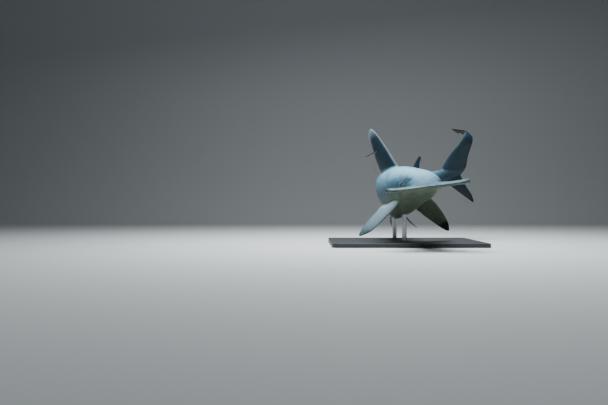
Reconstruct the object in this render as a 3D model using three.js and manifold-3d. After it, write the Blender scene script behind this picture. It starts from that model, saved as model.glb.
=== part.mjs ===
import * as THREE from 'three';
import Module from 'manifold-3d';

const wasm = await Module();
wasm.setup();

// Great hammerhead, still and life size, held over a plain display stand. Millimetres, +Z up.
// Straight body frame: x runs back from the snout, y to the shark's right, z to its back.
// The straight shark is then bent along its spine into the turning pose.

// Driving sizes
const HEAD_HALF_WIDTH = 383;
const HEAD_END = 430;
const TRUNK_END = 1500;
const TAIL_END = 2700;
const GAP = 0.3;
const RING_POINTS = 24;
const FLANK_POWER = 2.25;
const EYE_RADIUS = 19;
const EYE_X = 104;
const DORSAL_HEIGHT = 525;
const PECTORAL_LENGTH = 545;
const PELVIC_HEIGHT = 300;
const SECOND_DORSAL_HEIGHT = 218;
const ANAL_HEIGHT = 180;
const UPPER_LOBE_LENGTH = 935;
const LOWER_LOBE_LENGTH = 545;
const BASE_SIZE = [1560, 1240, 40];
const BASE_CORNER = 60;
const ROD_RADIUS = 24;
const ROD_STATIONS = [900, 1560];

// Where the shark stands over its base, and how it is turned there
const PIVOT_X = 900;
const PIVOT = new THREE.Vector3(-58, -246, 583);
const YAW = 25;
const PITCH = 8.15;
const BANK = 11.2;

// Smooth curve through [x, value] knots that never overshoots them
function curveThrough(knots) {
  const xs = knots.map((k) => k[0]);
  const ys = knots.map((k) => k[1]);
  const last = xs.length - 1;
  const steps = xs.slice(1).map((x, i) => x - xs[i]);
  const slopes = steps.map((h, i) => (ys[i + 1] - ys[i]) / h);
  const tangents = xs.map((_, i) => {
    if (i === 0) return slopes[0];
    if (i === last) return slopes[last - 1];
    const [a, b] = [slopes[i - 1], slopes[i]];
    const [h0, h1] = [steps[i - 1], steps[i]];
    if (a * b <= 0) return 0;
    const w1 = 2 * h1 + h0;
    const w2 = h1 + 2 * h0;
    return (w1 + w2) / (w1 / a + w2 / b);
  });
  return (t) => {
    let i = 0;
    while (i < last - 1 && t > xs[i + 1]) i += 1;
    const h = steps[i];
    const u = Math.min(Math.max((t - xs[i]) / h, 0), 1);
    const v = 1 - u;
    const ends = (1 + 2 * u) * v * v * ys[i] + u * u * (3 - 2 * u) * ys[i + 1];
    return ends + u * v * v * h * tangents[i] - u * u * v * h * tangents[i + 1];
  };
}

// Body profile: half width, back height and belly depth along x
const HALF_WIDTH = curveThrough([[60, 30], [130, 76], [220, 118], [400, 150], [620, 168], [900, 180],
  [1200, 168], [1650, 130], [2150, 74], [2480, 44], [2600, 27], [2700, 7]]);
const BACK = curveThrough([[60, 14], [130, 32], [220, 60], [400, 112], [620, 168], [900, 229],
  [1200, 226], [1650, 181], [2150, 114], [2480, 77], [2600, 56], [2700, 24]]);
const BELLY = curveThrough([[60, 16], [130, 38], [220, 70], [400, 124], [620, 188], [900, 267],
  [1200, 290], [1650, 229], [2150, 120], [2480, 75], [2600, 54], [2700, 24]]);

// Spine: turn to the side, turn up or down, and twist, in degrees against x
const RIGID_TO = 380;
const SIDE_TURN = curveThrough([[-200, -24], [RIGID_TO, -24], [900, 0], [1250, -29.4], [1600, -46.4],
  [1950, -72.9], [2300, -101.2], [2650, -110.4], [3300, -135]]);
const RISE_TURN = curveThrough([[-200, -5.85], [RIGID_TO, -5.85], [900, 0], [1350, 1.5], [1800, -3.7],
  [2300, -7.6], [2800, 10.4]]);
const TWIST = curveThrough([[-200, 6.3], [RIGID_TO, 6.3], [900, 0], [1350, -7.3], [1800, 14.2],
  [2300, 1.4], [2800, 33.7]]);
const SPINE_LENGTH = 3700;
const SPINE_STEP = 10;

const radians = THREE.MathUtils.degToRad;
const clamp = THREE.MathUtils.clamp;

function turnAbout(x, y, z, degrees) {
  return new THREE.Matrix4().makeRotationAxis(new THREE.Vector3(x, y, z), radians(degrees));
}

const heading = new THREE.Vector3(
  Math.sin(radians(YAW)) * Math.cos(radians(PITCH)),
  -Math.cos(radians(YAW)) * Math.cos(radians(PITCH)),
  Math.sin(radians(PITCH)),
);
const level = new THREE.Vector3().crossVectors(heading, new THREE.Vector3(0, 0, 1)).normalize();
const upright = new THREE.Vector3().crossVectors(level, heading);
const backward = heading.clone().negate();
const toBack = upright.clone().multiplyScalar(Math.cos(radians(BANK)))
  .addScaledVector(level, Math.sin(radians(BANK)));
const toRight = level.clone().multiplyScalar(Math.cos(radians(BANK)))
  .addScaledVector(upright, -Math.sin(radians(BANK)));
const PIVOT_FRAME = new THREE.Matrix4().makeBasis(backward, toRight, toBack);

function frameAt(x) {
  return PIVOT_FRAME.clone()
    .multiply(turnAbout(0, 0, 1, SIDE_TURN(x)))
    .multiply(turnAbout(0, 1, 0, RISE_TURN(x)))
    .multiply(turnAbout(1, 0, 0, TWIST(x)));
}

const spine = [new THREE.Vector3()];
for (let x = SPINE_STEP; x <= SPINE_LENGTH; x += SPINE_STEP) {
  const a = new THREE.Vector3(1, 0, 0).applyMatrix4(frameAt(x - SPINE_STEP));
  const b = new THREE.Vector3(1, 0, 0).applyMatrix4(frameAt(x));
  spine.push(spine[spine.length - 1].clone().addScaledVector(a.add(b), SPINE_STEP / 2));
}
const pivotShift = PIVOT.clone().sub(spine[PIVOT_X / SPINE_STEP]);

// Point of the straight shark to its place in the pose. Past its root a fin keeps the root's frame.
function pose(point, first = 0, last = SPINE_LENGTH) {
  const x = clamp(point.x, first, last);
  const i = clamp(Math.floor(x / SPINE_STEP), 0, spine.length - 2);
  const at = spine[i].clone().lerp(spine[i + 1], x / SPINE_STEP - i).add(pivotShift);
  const offset = new THREE.Vector3(point.x - x, point.y, point.z).applyMatrix4(frameAt(x));
  return at.add(offset);
}

// Closed surface from points and triangles
function solid(points, triangles) {
  const vertProperties = new Float32Array(points.flatMap((p) => [p.x, p.y, p.z]));
  const triVerts = new Uint32Array(triangles.flat());
  return new wasm.Manifold(new wasm.Mesh({ numProp: 3, vertProperties, triVerts }));
}

// Rings of equal count joined side by side, with a fan at each end
function loft(rings) {
  const count = rings[0].length;
  const points = rings.flat();
  const triangles = [];
  for (let i = 0; i < rings.length - 1; i += 1) {
    for (let j = 0; j < count; j += 1) {
      const a = i * count + j;
      const b = i * count + (j + 1) % count;
      triangles.push([a, b, b + count], [a, b + count, a + count]);
    }
  }
  const ends = [[rings[0], 0, false], [rings.at(-1), (rings.length - 1) * count, true]];
  for (const [ring, start, flip] of ends) {
    const middle = new THREE.Vector3();
    ring.forEach((p) => middle.addScaledVector(p, 1 / count));
    const centre = points.push(middle) - 1;
    for (let j = 0; j < count; j += 1) {
      const a = start + j;
      const b = start + (j + 1) % count;
      triangles.push(flip ? [a, b, centre] : [b, a, centre]);
    }
  }
  return outward(points, triangles);
}

// Turns the triangles round if they would face in
function outward(points, triangles) {
  let sum = 0;
  for (const [a, b, c] of triangles) {
    sum += points[a].dot(new THREE.Vector3().crossVectors(points[b], points[c]));
  }
  return solid(points, sum < 0 ? triangles.map(([a, b, c]) => [a, c, b]) : triangles);
}

function largest(shape) {
  const pieces = shape.decompose();
  return pieces.reduce((best, piece) => (piece.volume() > best.volume() ? piece : best), pieces[0]);
}

// Body rings, rounded-box like across
function bodyRing(x, grow = 0) {
  const ring = [];
  for (let j = 0; j < RING_POINTS; j += 1) {
    const angle = (2 * Math.PI * j) / RING_POINTS;
    const power = 2 / FLANK_POWER;
    const across = Math.sign(Math.cos(angle)) * Math.abs(Math.cos(angle)) ** power;
    const rise = Math.sign(Math.sin(angle)) * Math.abs(Math.sin(angle)) ** power;
    const height = rise > 0 ? BACK(x) : BELLY(x);
    ring.push(new THREE.Vector3(x, across * (HALF_WIDTH(x) + grow), rise * (height + grow)));
  }
  return ring;
}

function stations(from, to, count) {
  return Array.from({ length: count + 1 }, (_, i) => from + ((to - from) * i) / count);
}

function bodyLoft(xs, grow = 0) {
  return loft(xs.map((x) => bodyRing(x, grow).map((p) => pose(p))));
}

const HEAD_XS = [100, 130, 160, 190, 220, 250, 280, 310, 340, 370, HEAD_END];
const TRUNK_XS = stations(HEAD_END, TRUNK_END, 15);
const TAIL_XS = stations(TRUNK_END, TAIL_END, 14);
const ALL_XS = [...HEAD_XS, ...TRUNK_XS.slice(1), ...TAIL_XS.slice(1)];
const bodySpace = bodyLoft(ALL_XS, GAP);

// Head blade: section along the span, nearly straight in front with a shallow notch in the middle
const BLADE_FRONT = curveThrough([[0, 12], [0.07, 2], [0.5, 6], [0.78, 24], [0.93, 50], [1, 88]]);
const BLADE_REAR = curveThrough([[0, 420], [0.3, 330], [0.38, 262], [0.47, 215], [0.6, 196], [0.8, 190],
  [0.93, 176], [1, 122]]);
const BLADE_HALF = curveThrough([[0, 32], [0.5, 26], [0.8, 22], [0.93, 27], [1, 19]]);
const BLADE_ROWS = 32;
const CHORD_POINTS = 7;

// Round front edge, thin rear edge: half thickness as a share of its greatest, along the chord
const CHORD = stations(0, 1, CHORD_POINTS - 1).map((u) => (1 - Math.cos(Math.PI * u)) / 2);
function foil(s) {
  return 10 * (0.2969 * Math.sqrt(s) - 0.126 * s - 0.3516 * s ** 2 + 0.2843 * s ** 3 - 0.1036 * s ** 4);
}

// Thin plate with the same triangles on both faces. at(row, s, side) gives its points.
function plate(rows, at) {
  const points = [];
  const upper = [];
  const lower = [];
  rows.forEach((row) => {
    const front = points.push(at(row, 0, 0)) - 1;
    const over = [front];
    const under = [front];
    CHORD.slice(1, -1).forEach((s) => {
      over.push(points.push(at(row, s, 1)) - 1);
      under.push(points.push(at(row, s, -1)) - 1);
    });
    const rear = points.push(at(row, 1, 0)) - 1;
    over.push(rear);
    under.push(rear);
    upper.push(over);
    lower.push(under);
  });
  const triangles = [];
  for (let i = 0; i < rows.length - 1; i += 1) {
    for (let k = 0; k < CHORD_POINTS - 1; k += 1) {
      const [a, b, c, d] = [upper[i][k], upper[i][k + 1], upper[i + 1][k + 1], upper[i + 1][k]];
      triangles.push([a, b, c], [a, c, d]);
      const [e, f, g, h] = [lower[i][k], lower[i][k + 1], lower[i + 1][k + 1], lower[i + 1][k]];
      triangles.push([e, g, f], [e, h, g]);
    }
  }
  for (const [i, flip] of [[0, false], [rows.length - 1, true]]) {
    for (let k = 0; k < CHORD_POINTS - 1; k += 1) {
      const [a, b, c, d] = [upper[i][k], upper[i][k + 1], lower[i][k + 1], lower[i][k]];
      const faces = [[a, c, b], [a, d, c]].filter((t) => new Set(t).size === 3);
      faces.forEach((t) => triangles.push(flip ? [t[0], t[2], t[1]] : t));
    }
  }
  return outward(points, triangles);
}

function bladePoint(v, s, side) {
  const a = Math.abs(v);
  const front = BLADE_FRONT(a);
  const x = front + (BLADE_REAR(a) - front) * s;
  return new THREE.Vector3(x, v * HEAD_HALF_WIDTH, side * BLADE_HALF(a) * foil(s));
}

const bladeRows = stations(-1, 1, BLADE_ROWS);
const blade = plate(bladeRows, (v, s, side) => pose(bladePoint(v, s, side)));
const neck = bodyLoft(HEAD_XS.slice(0, -1).concat(HEAD_END - GAP));

// Eyes at the blade's two ends, each in a ring of lid
const SIDES = [['right', 1], ['left', -1]];
const EYE_Y = HEAD_HALF_WIDTH - 8;
const LID_RADIUS = EYE_RADIUS + 1.5;
const LID_THICKNESS = 5;

function posedGeometry(geometry, matrix, grow = 0) {
  const flat = geometry.index ? geometry : null;
  const position = geometry.getAttribute('position');
  const points = [];
  const keys = new Map();
  const order = [];
  for (let i = 0; i < position.count; i += 1) {
    const p = new THREE.Vector3().fromBufferAttribute(position, i);
    const key = [p.x, p.y, p.z].map((v) => Math.round(v * 1000)).join();
    if (!keys.has(key)) {
      keys.set(key, points.length);
      if (grow) p.addScaledVector(p.clone().normalize(), grow);
      points.push(p.applyMatrix4(matrix));
    }
    order.push(keys.get(key));
  }
  const index = flat ? Array.from(flat.index.array) : order.map((_, i) => i);
  const triangles = [];
  for (let i = 0; i < index.length; i += 3) {
    const t = [order[index[i]], order[index[i + 1]], order[index[i + 2]]];
    if (new Set(t).size === 3) triangles.push(t);
  }
  return [points, triangles];
}

function eyeShape(side, grow) {
  const ball = new THREE.SphereGeometry(EYE_RADIUS, 20, 14);
  const place = new THREE.Matrix4().makeTranslation(EYE_X, side * EYE_Y, 0);
  const [points, triangles] = posedGeometry(ball, place, grow);
  return outward(points.map((p) => pose(p)), triangles);
}

function lidShape(side) {
  const ring = new THREE.TorusGeometry(LID_RADIUS, LID_THICKNESS, 8, 24);
  const place = new THREE.Matrix4().makeTranslation(EYE_X, side * (EYE_Y + 4), 0)
    .multiply(turnAbout(1, 0, 0, 90));
  const [points, triangles] = posedGeometry(ring, place);
  return outward(points.map((p) => pose(p)), triangles);
}

// Underside of the neck at a station, a distance y out to the side
function bellySurface(x, y) {
  const share = clamp(Math.abs(y) / HALF_WIDTH(x), 0, 0.98);
  const depth = BELLY(x) * (1 - share ** FLANK_POWER) ** (1 / FLANK_POWER);
  return -Math.max(depth, BLADE_HALF(clamp(Math.abs(y) / HEAD_HALF_WIDTH, 0, 1)) * 0.8);
}

// Strip swept along points, square across: its half width runs along x and its depth along z
function strip(path, halfWidth, rise, depth) {
  return loft(path.map((p) => [[-1, rise], [1, rise], [1, -depth], [-1, -depth]].map(([a, b]) => (
    pose(new THREE.Vector3(p.x + a * halfWidth, p.y, p.z + b))
  ))));
}

// Mouth: an arc under the head, cut in as a line, between two rolls of lip
const MOUTH_HALF_WIDTH = 104;
const MOUTH_FRONT = 212;
const MOUTH_LENGTH = 74;
const MOUTH_LINE = 3.5;
const LIP_RADIUS = 7;

function mouthPath(forward, count, inset) {
  return stations(-1, 1, count).map((v) => {
    const y = v * (MOUTH_HALF_WIDTH + inset);
    const x = MOUTH_FRONT + forward + MOUTH_LENGTH * (1 - Math.sqrt(Math.max(1 - v * v * 0.96, 0)));
    return new THREE.Vector3(x, y, bellySurface(x, y));
  });
}

function roll(path, radius, sides = 6) {
  return loft(path.map((p, i) => {
    const size = i === 0 || i === path.length - 1 ? 0.4 * radius : radius;
    return Array.from({ length: sides }, (_, j) => {
      const angle = (2 * Math.PI * j) / sides;
      return pose(new THREE.Vector3(p.x + size * Math.cos(angle), p.y, p.z + size * Math.sin(angle)));
    });
  }));
}

// Nostril slits in the front edge, out near the eyes
const NOSTRIL_FROM = 0.76;
const NOSTRIL_TO = 0.88;
const NOSTRIL_HALF_HEIGHT = 3.5;
const NOSTRIL_DEPTH = 13;

function nostril(side) {
  return loft(stations(NOSTRIL_FROM, NOSTRIL_TO, 3).map((v) => {
    const front = BLADE_FRONT(v);
    const h = NOSTRIL_HALF_HEIGHT;
    const corners = [[-8, h], [-8, -h], [NOSTRIL_DEPTH, -h], [NOSTRIL_DEPTH, h]];
    return corners.map(([dx, z]) => pose(new THREE.Vector3(front + dx, side * v * HEAD_HALF_WIDTH, z - 5)));
  }));
}

let head = neck.add(blade);
head = head.add(roll(mouthPath(-LIP_RADIUS - 1, 14, 2), LIP_RADIUS));
head = head.add(roll(mouthPath(LIP_RADIUS + 1, 14, -6), LIP_RADIUS));
SIDES.forEach(([, side]) => {
  head = head.add(lidShape(side));
});
head = head.subtract(strip(mouthPath(0, 14, 0), MOUTH_LINE, 12, 12));
SIDES.forEach(([, side]) => {
  head = head.subtract(eyeShape(side, GAP)).subtract(nostril(side));
});
// The rear face of the head stops short of the trunk's front face
const behindHead = loft([HEAD_END - GAP, HEAD_END + 60].map((x) => bodyRing(x, 400).map((p) => pose(p))));
head = largest(head.subtract(behindHead));

// Gill slits: five on each flank, each cut in under the flap in front of it
const GILL_XS = [532, 566, 600, 633, 664];
const GILL_TOP = 62;
const GILL_BOTTOM = -98;
const GILL_WIDTH = 7;
const GILL_DEPTH = 13;

function flankSurface(x, z) {
  const height = z > 0 ? BACK(x) : BELLY(x);
  return HALF_WIDTH(x) * (1 - (Math.abs(z) / height) ** FLANK_POWER) ** (1 / FLANK_POWER);
}

function gillSlit(x, side) {
  return loft(stations(0, 1, 6).map((t) => {
    const z = GILL_TOP + (GILL_BOTTOM - GILL_TOP) * t;
    const mid = x + 10 * Math.sin(Math.PI * t);
    const open = GILL_WIDTH * (0.25 + 0.75 * Math.sin(Math.PI * t));
    const y = flankSurface(mid, z);
    const corners = [[-1, 12], [open, 12], [open - 5, -GILL_DEPTH], [-7, -GILL_DEPTH]];
    return corners.map(([dx, dy]) => pose(new THREE.Vector3(mid + dx, side * (y + dy), z)));
  }));
}

let trunk = bodyLoft(TRUNK_XS.slice(0, -1).concat(TRUNK_END - GAP));
GILL_XS.forEach((x) => SIDES.forEach(([, side]) => {
  trunk = trunk.subtract(gillSlit(x, side));
}));
trunk = largest(trunk);
const tail = bodyLoft(TAIL_XS);

// Fins: edges in front and behind against the way out along the fin, half thickness, and the
// root line, way out, lean and turn of the blade about its own length
const FIN_ROWS = 11;

function fin(spec, grow = 0) {
  const [outY, outZ] = spec.out;
  const [faceY, faceZ] = spec.face;
  const [rootFrom, rootTo] = spec.root;
  return plate(stations(0, 1, FIN_ROWS), (t, s, side) => {
    const front = spec.front(t);
    const chord = spec.rear(t) - front;
    const ahead = front + chord * 0.3;
    const turn = radians(spec.turn * Math.min(t / 0.35, 1));
    const along = front + chord * s - ahead;
    const x = ahead + along * Math.cos(turn);
    const share = clamp((x - spec.first) / (spec.last - spec.first), 0, 1);
    const off = side * (spec.half(t) * foil(s) + grow) + along * Math.sin(turn) + spec.lean(t);
    const out = spec.length * t;
    const y = rootFrom[0] + (rootTo[0] - rootFrom[0]) * share + outY * out + faceY * off;
    const z = rootFrom[1] + (rootTo[1] - rootFrom[1]) * share + outZ * out + faceZ * off;
    return pose(new THREE.Vector3(x, y, z), spec.first, spec.last);
  });
}

const straight = () => 0;
const dorsalFin = {
  out: [0, 1],
  face: [-1, 0],
  root: [[0, 205], [0, 190]],
  first: 880,
  last: 1210,
  length: DORSAL_HEIGHT + 20,
  front: curveThrough([[0, 850], [0.25, 930], [0.5, 1005], [0.75, 1098], [0.92, 1190], [1, 1292]]),
  rear: curveThrough([[0, 1212], [0.12, 1268], [0.28, 1232], [0.5, 1268], [0.75, 1352], [0.92, 1400],
    [1, 1366]]),
  half: curveThrough([[0, 24], [0.5, 14], [1, 3]]),
  lean: (t) => 47 * t * t,
  turn: -9,
};

function pectoralFin(side, droop, sweep, turn) {
  const length = PECTORAL_LENGTH * Math.cos(radians(sweep));
  const back = PECTORAL_LENGTH * Math.sin(radians(sweep));
  const [c, s] = [Math.cos(radians(droop)), Math.sin(radians(droop))];
  return {
    out: [side * c, -s],
    face: [side * s, c],
    root: [[side * 118, -88], [side * 118, -118]],
    first: 700,
    last: 930,
    length: length + 60,
    front: curveThrough([[0, 690], [0.3, 690 + back * 0.14], [0.6, 690 + back * 0.34],
      [0.85, 690 + back * 0.64], [1, 690 + back]]),
    rear: curveThrough([[0, 965], [0.15, 972], [0.35, 922 + back * 0.05], [0.6, 850 + back * 0.36],
      [0.85, 775 + back * 0.72], [1, 716 + back]]),
    half: curveThrough([[0, 27], [0.5, 15], [1, 3]]),
    lean: straight,
    turn,
  };
}

function pelvicFin(side) {
  const droop = 66;
  const [c, s] = [Math.cos(radians(droop)), Math.sin(radians(droop))];
  return {
    out: [side * c, -s],
    face: [side * s, c],
    root: [[side * 42, -170], [side * 34, -140]],
    first: 1655,
    last: 1830,
    length: PELVIC_HEIGHT,
    front: curveThrough([[0, 1645], [0.4, 1718], [0.8, 1812], [1, 1878]]),
    rear: curveThrough([[0, 1838], [0.25, 1818], [0.6, 1828], [0.85, 1880], [1, 1896]]),
    half: curveThrough([[0, 13], [0.5, 8], [1, 2.5]]),
    lean: straight,
    turn: 0,
  };
}

const secondDorsalFin = {
  out: [0, 1],
  face: [-1, 0],
  root: [[0, 95], [0, 84]],
  first: 2080,
  last: 2240,
  length: SECOND_DORSAL_HEIGHT + 12,
  front: curveThrough([[0, 2070], [0.4, 2140], [0.8, 2232], [1, 2300]]),
  rear: curveThrough([[0, 2245], [0.12, 2325], [0.3, 2252], [0.6, 2272], [0.9, 2322], [1, 2318]]),
  half: curveThrough([[0, 12], [0.5, 7], [1, 2.5]]),
  lean: straight,
  turn: 0,
};

const analFin = {
  out: [0, -1],
  face: [1, 0],
  root: [[0, -98], [0, -84]],
  first: 2050,
  last: 2220,
  length: ANAL_HEIGHT + 12,
  front: curveThrough([[0, 2042], [0.4, 2112], [0.8, 2202], [1, 2256]]),
  rear: curveThrough([[0, 2226], [0.14, 2296], [0.32, 2198], [0.6, 2212], [1, 2272]]),
  half: curveThrough([[0, 12], [0.5, 7], [1, 2.5]]),
  lean: straight,
  turn: 0,
};

function rooted(spec) {
  return largest(fin(spec).subtract(bodySpace));
}

// Tail fin: the upper lobe rises behind the stalk and its end curls over to the shark's right
const TAIL_ROOT_X = 2500;
const UPPER_ANGLE = 54;
const LOWER_ANGLE = 42;
const CURL = 105;
const CURL_FROM = 0.44;
const CURL_TO = 0.68;
const LOBE_ROWS = 20;
const TAIL_LAST = 2700;
const upperChord = curveThrough([[0, 225], [0.15, 252], [0.35, 178], [0.6, 112], [0.8, 84], [0.87, 64],
  [0.92, 88], [1, 26]]);
const upperHalf = curveThrough([[0, 30], [0.2, 21], [0.5, 13], [1, 3]]);
const lowerChord = curveThrough([[0, 320], [0.3, 185], [0.6, 112], [0.85, 66], [1, 16]]);
const lowerHalf = curveThrough([[0, 22], [0.5, 12], [1, 3]]);

function curlAt(t) {
  const u = clamp((t - CURL_FROM) / (CURL_TO - CURL_FROM), 0, 1);
  return radians(CURL * u * u * (3 - 2 * u));
}

const upperStart = new THREE.Vector3(TAIL_ROOT_X - 12, 0, 54);
const rising = new THREE.Vector3(Math.cos(radians(UPPER_ANGLE)), 0, Math.sin(radians(UPPER_ANGLE)));
const upperRows = stations(0, 1, LOBE_ROWS);
const upperLine = [upperStart];
upperRows.slice(1).forEach((t, i) => {
  const turn = curlAt((t + upperRows[i]) / 2);
  const step = rising.clone().multiplyScalar(Math.cos(turn)).add(new THREE.Vector3(0, Math.sin(turn), 0));
  upperLine.push(upperLine[i].clone().addScaledVector(step, UPPER_LOBE_LENGTH / LOBE_ROWS));
});
const upperLobe = plate(upperRows, (t, s, side) => {
  const turn = curlAt(t);
  const face = rising.clone().multiplyScalar(-Math.sin(turn)).add(new THREE.Vector3(0, Math.cos(turn), 0));
  const behind = new THREE.Vector3(rising.z, 0, -rising.x);
  const point = upperLine[Math.round(t * LOBE_ROWS)].clone()
    .addScaledVector(behind, upperChord(t) * s)
    .addScaledVector(face, side * upperHalf(t) * foil(s));
  return pose(point, 0, TAIL_LAST);
});
const falling = new THREE.Vector3(Math.cos(radians(LOWER_ANGLE)), 0, -Math.sin(radians(LOWER_ANGLE)));
const lowerStart = new THREE.Vector3(TAIL_ROOT_X - 22, 0, -52);
const lowerLobe = plate(stations(0, 1, FIN_ROWS), (t, s, side) => {
  const point = lowerStart.clone().addScaledVector(falling, LOWER_LOBE_LENGTH * t)
    .add(new THREE.Vector3(-falling.z, 0, falling.x).multiplyScalar(lowerChord(t) * s));
  point.y += side * lowerHalf(t) * foil(s);
  return pose(point, 0, TAIL_LAST);
});
const caudalFin = largest(upperLobe.add(lowerLobe).subtract(bodySpace));

// Tag: a short rod beside the first dorsal fin on a thin stiff leader, with a dart in the skin
const TAG_RADIUS = 8;
const TETHER_RADIUS = 2;
const ANCHOR_RADIUS = 5;
const TAG_ENDS = [new THREE.Vector3(1270, 108, 453), new THREE.Vector3(1100, 28, 458)];
const TETHER_PATH = [[1150, 51, 455], [1172, 66, 402], [1192, 76, 352], [1214, 78, 300], [1226, 64, 258],
  [1230, 41, 232]];
const ANCHOR_ENDS = [new THREE.Vector3(1192, 22, 208), new THREE.Vector3(1240, 46, 239)];

function rodBetween(a, b, radius, sides) {
  const along = b.clone().sub(a);
  const shape = new THREE.CylinderGeometry(radius, radius, along.length(), sides);
  const turn = new THREE.Quaternion().setFromUnitVectors(new THREE.Vector3(0, 1, 0), along.normalize());
  const place = new THREE.Matrix4().compose(a.clone().lerp(b, 0.5), turn, new THREE.Vector3(1, 1, 1));
  const [points, triangles] = posedGeometry(shape, place);
  return outward(points, triangles);
}

function tubeAlong(path, radius, sides, count) {
  const line = new THREE.CatmullRomCurve3(path);
  const frames = line.computeFrenetFrames(count, false);
  return loft(stations(0, 1, count).map((t, i) => {
    const at = line.getPointAt(t);
    return Array.from({ length: sides }, (_, j) => {
      const angle = (2 * Math.PI * j) / sides;
      return at.clone().addScaledVector(frames.normals[i], radius * Math.cos(angle))
        .addScaledVector(frames.binormals[i], radius * Math.sin(angle));
    });
  }));
}

const dorsalSpace = fin(dorsalFin, GAP).add(bodySpace);
const posed = (p) => pose(p, dorsalFin.first, dorsalFin.last);
const tagRaw = (grow) => rodBetween(posed(TAG_ENDS[0]), posed(TAG_ENDS[1]), TAG_RADIUS + grow, 12);
const anchorRaw = (grow) => (
  rodBetween(posed(ANCHOR_ENDS[0]), posed(ANCHOR_ENDS[1]), ANCHOR_RADIUS + grow, 10)
);
const tetherPoints = TETHER_PATH.map(([x, y, z]) => posed(new THREE.Vector3(x, y, z)));
const tagBody = largest(tagRaw(0).subtract(dorsalSpace));
const tagAnchor = largest(anchorRaw(0).subtract(dorsalSpace));
const tagTether = largest(tubeAlong(tetherPoints, TETHER_RADIUS, 8, 20)
  .subtract(tagRaw(GAP)).subtract(anchorRaw(GAP)).subtract(dorsalSpace));

// Stand: a flat base with two short rods up to the belly
function roundedBase() {
  const [w, d, h] = BASE_SIZE;
  const [x, y, r] = [w / 2, d / 2, BASE_CORNER];
  const outline = new THREE.Shape();
  outline.moveTo(-x + r, -y);
  outline.lineTo(x - r, -y);
  outline.absarc(x - r, -y + r, r, -Math.PI / 2, 0);
  outline.lineTo(x, y - r);
  outline.absarc(x - r, y - r, r, 0, Math.PI / 2);
  outline.lineTo(-x + r, y);
  outline.absarc(-x + r, y - r, r, Math.PI / 2, Math.PI);
  outline.lineTo(-x, -y + r);
  outline.absarc(-x + r, -y + r, r, Math.PI, 1.5 * Math.PI);
  const geometry = new THREE.ExtrudeGeometry(outline, { depth: h, bevelEnabled: false, curveSegments: 8 });
  const [points, triangles] = posedGeometry(geometry, new THREE.Matrix4());
  return outward(points, triangles);
}

function standRod(station) {
  const foot = pose(new THREE.Vector3(station, 0, -0.5 * BELLY(station)));
  const from = new THREE.Vector3(foot.x, foot.y, BASE_SIZE[2] + GAP);
  return largest(rodBetween(from, foot, ROD_RADIUS, 20).subtract(bodySpace));
}

const eyes = SIDES.map(([name, side]) => [`eye_${name}`, eyeShape(side, 0)]);
const SKIN = { color: 0x6f8a99, roughness: 0.55, metalness: 0 };
const FIN_SKIN = { color: 0x5b7382, roughness: 0.55, metalness: 0 };
const parts = [
  ['head', head, SKIN],
  ['trunk', trunk, SKIN],
  ['tail', tail, SKIN],
  ['caudal_fin', caudalFin, FIN_SKIN],
  ['first_dorsal_fin', rooted(dorsalFin), FIN_SKIN],
  ['second_dorsal_fin', rooted(secondDorsalFin), FIN_SKIN],
  ['anal_fin', rooted(analFin), FIN_SKIN],
  ['pectoral_fin_right', rooted(pectoralFin(1, 31, 40, 35)), FIN_SKIN],
  ['pectoral_fin_left', rooted(pectoralFin(-1, 50, 25, -28)), FIN_SKIN],
  ['pelvic_fin_right', rooted(pelvicFin(1)), FIN_SKIN],
  ['pelvic_fin_left', rooted(pelvicFin(-1)), FIN_SKIN],
  ...eyes.map(([name, shape]) => [name, shape, { color: 0x101214, roughness: 0.15, metalness: 0 }]),
  ['tag_body', tagBody, { color: 0x3a1a14, roughness: 0.4, metalness: 0 }],
  ['tag_tether', tagTether, { color: 0x9aa4aa, roughness: 0.5, metalness: 0 }],
  ['tag_anchor', tagAnchor, { color: 0xb9b2a6, roughness: 0.35, metalness: 0.7 }],
  ['stand_base', roundedBase(), { color: 0x2c2e30, roughness: 0.5, metalness: 0.2 }],
  ['stand_rod_front', standRod(ROD_STATIONS[0]), { color: 0xb8bcc0, roughness: 0.3, metalness: 0.9 }],
  ['stand_rod_rear', standRod(ROD_STATIONS[1]), { color: 0xb8bcc0, roughness: 0.3, metalness: 0.9 }],
];

const hammerhead = new THREE.Group();
parts.forEach(([name, shape, look]) => {
  const { numProp, vertProperties, triVerts } = shape.getMesh();
  const geometry = new THREE.BufferGeometry();
  geometry.setAttribute('position', new THREE.BufferAttribute(vertProperties, numProp));
  geometry.setIndex(new THREE.BufferAttribute(triVerts, 1));
  geometry.computeVertexNormals();
  const mesh = new THREE.Mesh(geometry, new THREE.MeshStandardMaterial(look));
  mesh.name = name;
  hammerhead.add(mesh);
});

export default hammerhead;
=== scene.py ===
import math
import bmesh
import bpy
import numpy as np
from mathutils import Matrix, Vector, kdtree


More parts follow.
